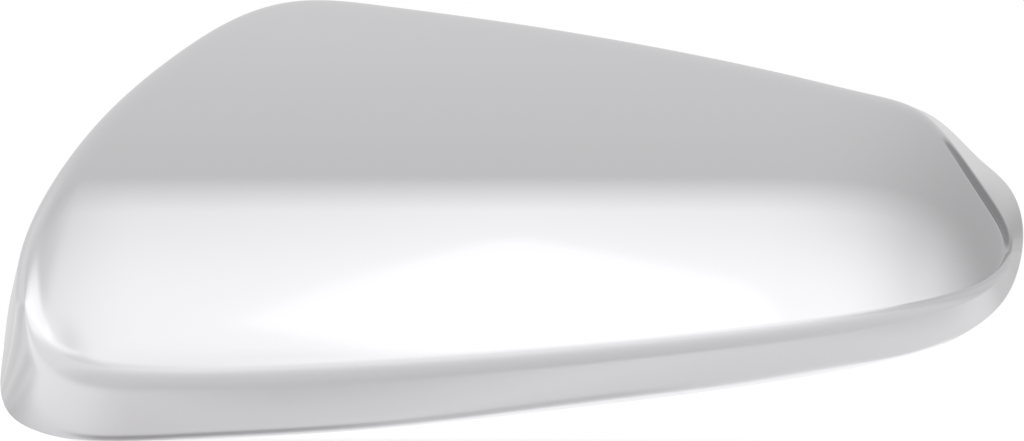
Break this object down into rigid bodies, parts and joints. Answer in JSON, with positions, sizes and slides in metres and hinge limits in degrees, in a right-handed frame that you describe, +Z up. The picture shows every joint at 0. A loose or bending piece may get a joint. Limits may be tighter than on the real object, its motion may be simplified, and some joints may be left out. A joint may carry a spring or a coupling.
{
  "type": "wing mirror cover",
  "caption": "Open-backed moulded cover for the front and top of an outside wing mirror, tapering to one end, with snap clips and locating pins inside.",
  "frame": {"origin": "centre of the cover's length and depth, at the height of its lowest edge", "axes": "+X along the length towards the pointed end, +Y back out of the open side, +Z up as fitted on the car"},
  "size_m": [0.23, 0.0606, 0.0993],
  "materials": {
    "shell": "bright satin chrome"
  },
  "bodies": {
    "root": {"cover": "shell"}
  },
  "joints": []
}
